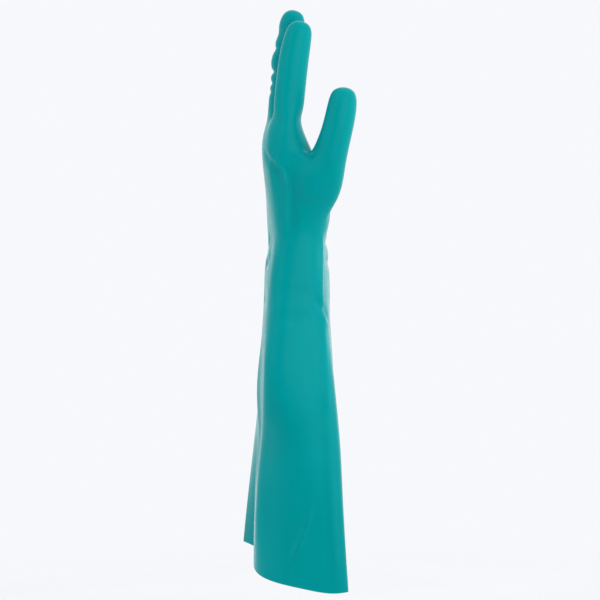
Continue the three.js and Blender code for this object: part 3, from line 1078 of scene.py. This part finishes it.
def mesh_values(mesh: bpy.types.Mesh, what: str) -> np.ndarray:
    """Reads a value at each point of a mesh.

    Args:
        mesh: the mesh.
        what: co for the places in metres, or normal for the normals.

    Returns:
        The values, one row for each point.
    """
    values = np.zeros(len(mesh.vertices) * 3)
    mesh.vertices.foreach_get(what, values)
    return values.reshape(-1, 3)


def apply_modifier(piece: bpy.types.Object, kind: str, **settings: object) -> None:
    """Adds a modifier to a piece and applies it.

    Args:
        piece: the piece.
        kind: the modifier's type.
        settings: the modifier's settings by name.
    """
    bpy.context.view_layer.objects.active = piece
    modifier = piece.modifiers.new(kind.lower(), kind)
    for name, value in settings.items():
        setattr(modifier, name, value)
    bpy.ops.object.modifier_apply(modifier=modifier.name)


@dataclass
class Glove:
    """The whole glove: one shell of rubber."""

    sleeve: Sleeve = Sleeve()
    knuckles: Knuckles = Knuckles()
    wall: float = 0.6
    smoothing: int = 3
    folds: tuple[Fold, ...] = FOLDS
    finishes: dict[WallLayer, NitrileFinish | MattFinish] = field(
        default_factory=lambda: {
            WallLayer.OUTSIDE: NitrileFinish(),
            WallLayer.INSIDE: DUSTY_INSIDE,
            WallLayer.CUT_EDGE: CUT_EDGE,
        }
    )

    def build(self) -> bpy.types.Object:
        """Models the glove and dresses it.

        Returns:
            The finished piece.
        """
        piece = self.model_cage()
        apply_modifier(piece, "SUBSURF", levels=self.smoothing, render_levels=self.smoothing)
        self.press_folds(piece)
        self.give_wall(piece)
        self.dress(piece)
        return piece

    def model_cage(self) -> bpy.types.Object:
        """Models the coarse cage.

        Returns:
            The cage.
        """
        hand = Hand(self.sleeve, self.knuckles)
        fingers = Fingers(hand)
        sleeve_rings = self.sleeve.rings()
        hand_rings = hand.rings()
        modeller = CageModeller("rubber_glove", sleeve_rings[0])
        modeller.tube([*sleeve_rings[1:], *hand_rings])
        webs = modeller.close_knuckles(hand_rings[-1])
        for number in range(len(self.knuckles.rows)):
            modeller.grow(fingers.limb(number, hand_rings[-1], webs))
        modeller.grow(Thumb(hand).limb(hand_rings))
        return modeller.finish()

    def refine(self, piece: bpy.types.Object, lines: list[tuple[Fold, np.ndarray]]) -> None:
        """Subdivides the faces near the narrow folds.

        Args:
            piece: the smoothed glove.
            lines: each fold with its path on the surface.
        """
        bpy.ops.object.mode_set(mode="EDIT")
        bpy.ops.mesh.select_mode(type="FACE")
        bpy.ops.mesh.select_all(action="DESELECT")
        grid = bmesh.from_edit_mesh(piece.data)
        grid.faces.ensure_lookup_table()
        centres = np.array([face.calc_center_median() for face in grid.faces])
        chosen = np.zeros(len(centres), bool)
        for fold, line in lines:
            if fold.width < NARROW_FOLD:
                chosen |= np.abs(fold.shape(centres, line)) > FOLD_TRACE * abs(fold.height) * MM
        for i in np.flatnonzero(chosen):
            grid.faces[i].select = True
        bmesh.update_edit_mesh(piece.data)
        bpy.ops.mesh.subdivide(number_cuts=1, smoothness=1, ngon=False)
        bpy.ops.object.mode_set(mode="OBJECT")
        log.info("refined %d faces near folds", int(chosen.sum()))

    def press_folds(self, piece: bpy.types.Object) -> None:
        """Presses the folds into the smoothed glove."""
        faces = [tuple(face.vertices) for face in piece.data.polygons]
        tree = BVHTree.FromPolygons([Vector(point) for point in mesh_values(piece.data, "co")], faces)
        lines = [(fold, fold.line(tree)) for fold in self.folds]
        log.debug("pressing %s", ", ".join(fold.name for fold in self.folds))
        self.refine(piece, lines)
        points, normals = mesh_values(piece.data, "co"), mesh_values(piece.data, "normal")
        moved = sum(fold.shape(points, line) for fold, line in lines)
        points += normals * moved[:, None]
        piece.data.vertices.foreach_set("co", points.ravel())
        piece.data.update()

    def give_wall(self, piece: bpy.types.Object) -> None:
        """Gives the surface its wall, with the inside and the cut edge in their own material slots."""
        apply_modifier(
            piece,
            "SOLIDIFY",
            thickness=self.wall * MM,
            offset=-1,
            use_even_offset=True,
            material_offset=WallLayer.INSIDE.value,
            material_offset_rim=WallLayer.CUT_EDGE.value,
        )

    def dress(self, piece: bpy.types.Object) -> None:
        """Smooths the shading and puts on the finishes."""
        bpy.ops.object.select_all(action="DESELECT")
        piece.select_set(True)
        bpy.context.view_layer.objects.active = piece
        bpy.ops.object.shade_smooth_by_angle(angle=math.radians(SMOOTH_ANGLE))
        for layer in WallLayer:
            piece.data.materials.append(self.finishes[layer].material())


@dataclass(frozen=True)
class SoftLight:
    """A large soft light: where it stands about the glove, its size in metres and its power in watts."""

    name: str
    azimuth: float
    elevation: float
    distance: float
    width: float
    height: float
    power: float
    rise: float = 0

    def build(self, aim: Vector) -> None:
        """Adds the light and turns it to a place that stands its rise above a point."""
        turn, rise = math.radians(self.azimuth), math.radians(self.elevation)
        flat = math.cos(rise)
        back = Vector((math.sin(turn) * flat, -math.cos(turn) * flat, math.sin(rise)))
        data = bpy.data.lights.new(self.name, "AREA")
        data.shape, data.size, data.size_y = "RECTANGLE", self.width, self.height
        data.energy = self.power
        lamp = bpy.data.objects.new(self.name, data)
        lamp.location = aim + UP * self.rise + back * self.distance
        lamp.visible_camera = False
        lamp.rotation_euler = (-back).to_track_quat("-Z", "Y").to_euler()
        bpy.context.scene.collection.objects.link(lamp)


@dataclass(frozen=True)
class Studio:
    """The pale studio round the glove: its floor, its even light, its soft lights and the camera."""

    camera_azimuth: float = 80.0
    camera_distance: float = 1900.0
    camera_lens: float = 145.2
    aim: tuple[float, float, float] = (0.41, 2.32, 212.7)
    floor_height: float = -60.0
    floor_radius: float = 900.0
    backdrop: Colour = (0.93, 0.94, 0.97)
    side_light: float = 1.3
    front_light: float = 0.12
    right_share: float = 0.15
    lights: tuple[SoftLight, ...] = (
        SoftLight("left_softbox", 30, 25, 2.2, 1.2, 1.8, 6),
        SoftLight("right_softbox", 120, 20, 2.2, 1.0, 1.8, 4.8),
        SoftLight("hand_softbox", 98, 8, 0.5, 0.4, 0.4, 1.15, 0.12),
    )

    def build(self) -> None:
        """Builds the floor, the world, the lights and the camera."""
        aim = Vector(self.aim) * MM
        self.lay_floor()
        self.fill_world()
        for light in self.lights:
            light.build(aim)
        self.set_camera(aim)
        bpy.context.scene.view_settings.view_transform = "Standard"

    def set_camera(self, aim: Vector) -> None:
        """Adds the camera and turns it to a point."""
        turn = math.radians(self.camera_azimuth)
        back = Vector((math.sin(turn), -math.cos(turn), 0))
        data = bpy.data.cameras.new("camera")
        data.lens, data.sensor_width = self.camera_lens, SENSOR_WIDTH
        data.clip_start, data.clip_end = CLIP_RANGE
        camera = bpy.data.objects.new("camera", data)
        camera.location = aim + back * (self.camera_distance * MM)
        camera.rotation_euler = (-back).to_track_quat("-Z", "Y").to_euler()
        bpy.context.scene.collection.objects.link(camera)
        bpy.context.scene.camera = camera

    def lay_floor(self) -> None:
        """Lays a round pale floor that fades out into the backdrop."""
        bpy.ops.object.select_all(action="DESELECT")
        height = self.floor_height * MM
        bpy.ops.mesh.primitive_circle_add(
            vertices=FLOOR_SIDES, radius=self.floor_radius * MM, fill_type="NGON", location=(0, 0, height)
        )
        floor = bpy.context.object
        floor.name = "floor"
        sheet = NodeSheet.for_material("pale_floor")
        place = sheet.add("ShaderNodeTexCoord").outputs["Object"]
        away = sheet.add("ShaderNodeVectorMath", operation="LENGTH")
        sheet.join(place, away.inputs[0])
        fade = sheet.ranged(away.outputs["Value"], (0.15, 0.95 * self.floor_radius * MM), (0.35, 1))
        grain = sheet.noise(place, scale=6, detail=2)
        shade = sheet.ramp(grain, ((0.3, (0.72, 0.73, 0.75)), (0.7, (0.76, 0.77, 0.79))))
        matt = sheet.add("ShaderNodeBsdfDiffuse")
        sheet.join(shade, matt.inputs["Color"])
        clear = sheet.add("ShaderNodeBsdfTransparent")
        from_below = sheet.add("ShaderNodeMath", operation="MAXIMUM")
        sheet.join(fade, from_below.inputs[0])
        sheet.join(sheet.add("ShaderNodeNewGeometry").outputs["Backfacing"], from_below.inputs[1])
        mix = sheet.add("ShaderNodeMixShader")
        sheet.join(from_below.outputs[0], mix.inputs["Fac"])
        sheet.join(matt.outputs["BSDF"], mix.inputs[1])
        sheet.join(clear.outputs["BSDF"], mix.inputs[2])
        output = sheet.add("ShaderNodeOutputMaterial")
        sheet.join(mix.outputs["Shader"], output.inputs["Surface"])
        floor.data.materials.append(sheet.material)

    def fill_world(self) -> None:
        """Fills the world with the pale backdrop, and lights the glove more from its sides than from the front."""
        world = bpy.data.worlds.new("studio")
        bpy.context.scene.world = world
        world.use_nodes = True
        sheet = NodeSheet(world.node_tree)
        turn = math.radians(self.camera_azimuth)
        way = sheet.add("ShaderNodeTexCoord").outputs["Generated"]
        facing = sheet.add("ShaderNodeVectorMath", operation="DOT_PRODUCT")
        facing.inputs[1].default_value = (math.sin(turn), -math.cos(turn), 0)
        sheet.join(way, facing.inputs[0])
        front = sheet.ranged(facing.outputs["Value"], (0.35, 0.9), (self.side_light, self.front_light))
        aside = sheet.add("ShaderNodeVectorMath", operation="DOT_PRODUCT")
        aside.inputs[1].default_value = (math.cos(turn), math.sin(turn), 0)
        sheet.join(way, aside.inputs[0])
        tip = sheet.ranged(aside.outputs["Value"], (-1, 1), (1 - self.right_share, 1 + self.right_share))
        strength = sheet.add("ShaderNodeMath", operation="MULTIPLY")
        sheet.join(front, strength.inputs[0])
        sheet.join(tip, strength.inputs[1])
        even = sheet.add("ShaderNodeBackground")
        sheet.join(strength.outputs[0], even.inputs["Strength"])
        even.inputs["Color"].default_value = (0.985, 0.99, 1, 1)
        seen = sheet.add("ShaderNodeBackground")
        seen.inputs["Color"].default_value = (*self.backdrop, 1)
        path = sheet.add("ShaderNodeLightPath")
        mix = sheet.add("ShaderNodeMixShader")
        sheet.join(path.outputs["Is Camera Ray"], mix.inputs["Fac"])
        sheet.join(even.outputs["Background"], mix.inputs[1])
        sheet.join(seen.outputs["Background"], mix.inputs[2])
        output = sheet.add("ShaderNodeOutputWorld")
        sheet.join(mix.outputs["Shader"], output.inputs["Surface"])


def main() -> None:
    """Builds the glove and the studio, and reports each."""
    logging.basicConfig(level=logging.INFO, format="%(name)s: %(message)s")
    glove = Glove().build()
    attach(glove, "root")
    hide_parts("glove_shell")
    log.info("%s has %d faces", glove.name, len(glove.data.polygons))
    Studio().build()
    log.info("the studio is ready")


if __name__ == "__main__":
    main()
